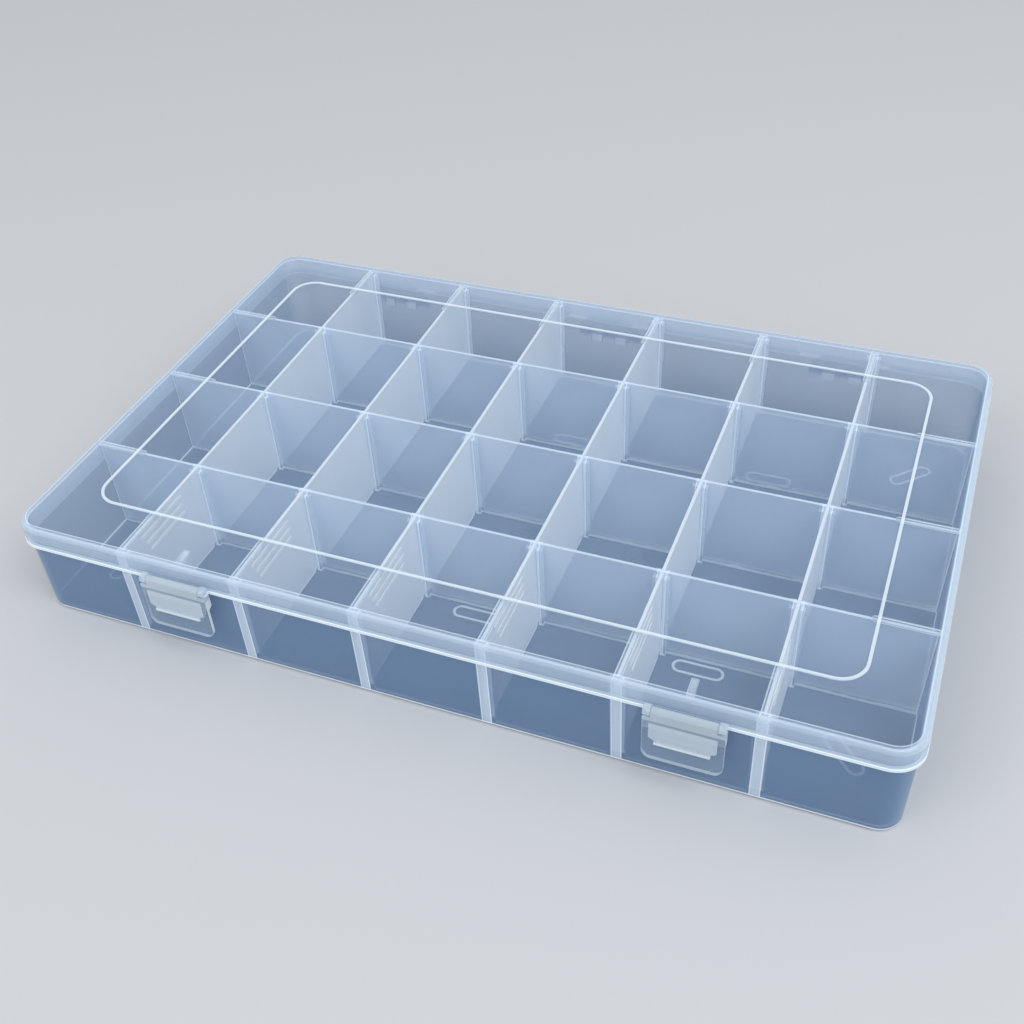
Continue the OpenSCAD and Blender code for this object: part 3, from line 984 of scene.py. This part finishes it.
@dataclass
class Latch(Moulding):
    """The two snap latches. The sizes are in millimetres, down from the top and in from the front."""

    barrel_depth: float = 5.0
    lip_depth: float = 0.12
    lip_highlight_strength: float = 0.8
    pad_bottom: float = 16.0
    pad_depth: float = 0.62

    def masks(self, tree: bpy.types.NodeTree, point: Point) -> Masks:
        """Painted highlights: the thin faces round tab, pad and lip. Thick: barrel and grip pad.

        Args:
            tree: the material's node tree, which is not used.
            point: the shaded point.

        Returns:
            The masks.
        """
        top, front = self.layout.latch.high.z, self.layout.latch.low.y
        thin = point.facing_y.size().below(0.5, soft=0.2)
        barrel = point.z.above(top - self.barrel_depth, soft=0.4)
        lip = point.y.below(front + self.lip_depth, soft=0.05)
        pad = point.z.above(top - self.pad_bottom, soft=0.2)
        pad = pad * point.y.below(front + self.pad_depth, soft=0.05)
        # Painted highlights on the thin faces and along the lip
        edge = (thin * barrel.outside()).either(lip * self.lip_highlight_strength)
        return Masks(edge=edge, thick=barrel.either(pad))


# ---------------------------------------------------------------------------------------------------
# Studio


@dataclass(frozen=True)
class Viewpoint:
    """The photograph's camera. Its place is in millimetres, and so are lens and sensor."""

    place: Vector = Vector((155.1, -371.9, 355.3))
    forward: Vector = Vector((-0.3039, 0.6933, -0.6534))
    right: Vector = Vector((0.9305, 0.3634, -0.0471))
    lens: float = 44.08
    sensor: float = 36.0

    def build(self) -> None:
        """Makes the camera and points it."""
        data = bpy.data.cameras.new("viewpoint")
        data.lens = self.lens
        data.sensor_width = self.sensor
        camera = bpy.data.objects.new("viewpoint", data)
        bpy.context.collection.objects.link(camera)
        ahead = self.forward.normalized()
        up = self.right.cross(ahead).normalized()
        side = ahead.cross(up)
        turn = Matrix((side, up, -ahead)).transposed().to_4x4()
        camera.matrix_world = Matrix.Translation(self.place * MM) @ turn
        bpy.context.scene.camera = camera
        log.info("camera at %s mm", tuple(round(v, 1) for v in self.place))


@dataclass(frozen=True)
class Softbox:
    """A square lamp that points at the box. Place and side are in metres."""

    name: str
    place: Vector
    side: float
    watts: float

    def build(self) -> None:
        """Hangs the lamp."""
        data = bpy.data.lights.new(self.name, "AREA")
        data.energy = self.watts
        data.size = self.side
        lamp = bpy.data.objects.new(self.name, data)
        bpy.context.collection.objects.link(lamp)
        lamp.location = self.place
        lamp.rotation_mode = "QUATERNION"
        lamp.rotation_quaternion = (-self.place).to_track_quat("-Z", "Y")


@dataclass(frozen=True)
class Studio:
    """A plain pale floor, soft lamps and a pale room. The floor is in metres, and the place where
    its colour is painted paler, as painted light, in millimetres.
    """

    floor_size: float = 60.0
    floor_colour: Colour = (0.52, 0.54, 0.57)
    floor_roughness: float = 0.85
    painted_light_reach: float = 2300.0
    painted_light_width: float = 1500.0
    room_colour: Colour = (0.55, 0.57, 0.60)
    room_light: float = 0.72
    clear_layers: int = 32
    lamps: tuple[Softbox, ...] = (
        Softbox("key", Vector((1.35, -0.75, 1.90)), 1.5, 29.0),
        Softbox("fill", Vector((-0.82, -1.60, 1.50)), 1.35, 13.0),
    )

    def build(self) -> None:
        """Lays the floor, hangs the lamps and lights the room."""
        self._floor()
        for lamp in self.lamps:
            lamp.build()
        self._room()
        scene = bpy.context.scene
        scene.view_settings.view_transform = "Standard"
        scene.cycles.transparent_max_bounces = self.clear_layers

    def _floor(self) -> None:
        """Lays the floor under the feet. Out of the lamps' reach its paper is painted paler up to the
        room's tone, painted light that stands in for the lamps, so that floor and room meet without a
        step.
        """
        bpy.ops.object.select_all(action="DESELECT")
        bpy.ops.mesh.primitive_plane_add(size=self.floor_size)
        floor = bpy.context.object
        floor.name = "floor"
        material = bpy.data.materials.new("floor_paper")
        material.use_nodes = True
        tree = material.node_tree
        shader = tree.nodes["Principled BSDF"]
        shader.inputs["Roughness"].default_value = self.floor_roughness
        point = Point.on(tree)
        reach = (point.x * point.x + point.y * point.y).root()
        # Painted light: the far floor is painted paler where the lamps don't reach
        far = reach.above(self.painted_light_reach, soft=self.painted_light_width)
        painted_pale = tuple(part / self.room_light for part in self.room_colour)
        mixed(tree, far, self.floor_colour, painted_pale).feed(shader.inputs["Base Color"])
        floor.data.materials.append(material)

    def _room(self) -> None:
        """Lights the room, and shows it pale to the camera, in gloss and through clear plastic."""
        world = bpy.data.worlds.new("room")
        bpy.context.scene.world = world
        world.use_nodes = True
        tree = world.node_tree
        lit = tree.nodes["Background"]
        lit.inputs["Color"].default_value = (1.0, 1.0, 1.0, 1.0)
        lit.inputs["Strength"].default_value = self.room_light
        seen = tree.nodes.new("ShaderNodeBackground")
        seen.inputs["Color"].default_value = (*self.room_colour, 1.0)
        path = tree.nodes.new("ShaderNodeLightPath")
        shown = Signal(tree, path.outputs["Is Camera Ray"])
        for kind in ("Is Glossy Ray", "Is Transmission Ray"):
            shown = shown.either(Signal(tree, path.outputs[kind]))
        choice = tree.nodes.new("ShaderNodeMixShader")
        shown.feed(choice.inputs[0])
        tree.links.new(lit.outputs[0], choice.inputs[1])
        tree.links.new(seen.outputs[0], choice.inputs[2])
        tree.links.new(choice.outputs[0], tree.nodes["World Output"].inputs["Surface"])


# ---------------------------------------------------------------------------------------------------


def main() -> None:
    """Builds the looks, piece by piece."""
    logging.basicConfig(level=logging.INFO, format="%(name)s: %(message)s")
    Viewpoint().build()
    layout, groups = Layout(), Groups()
    names = list(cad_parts)
    Tray(layout, groups, ["base_tray"], Plastic.TRAY).dress()
    Lid(layout, groups, ["lid"], Plastic.LID).dress()
    Divider(layout, groups, [n for n in names if n.startswith("divider_")], Plastic.DIVIDER).dress()
    Latch(layout, groups, [n for n in names if n.startswith("latch_")], Plastic.LATCH).dress()
    Studio().build()


if __name__ == "__main__":
    main()
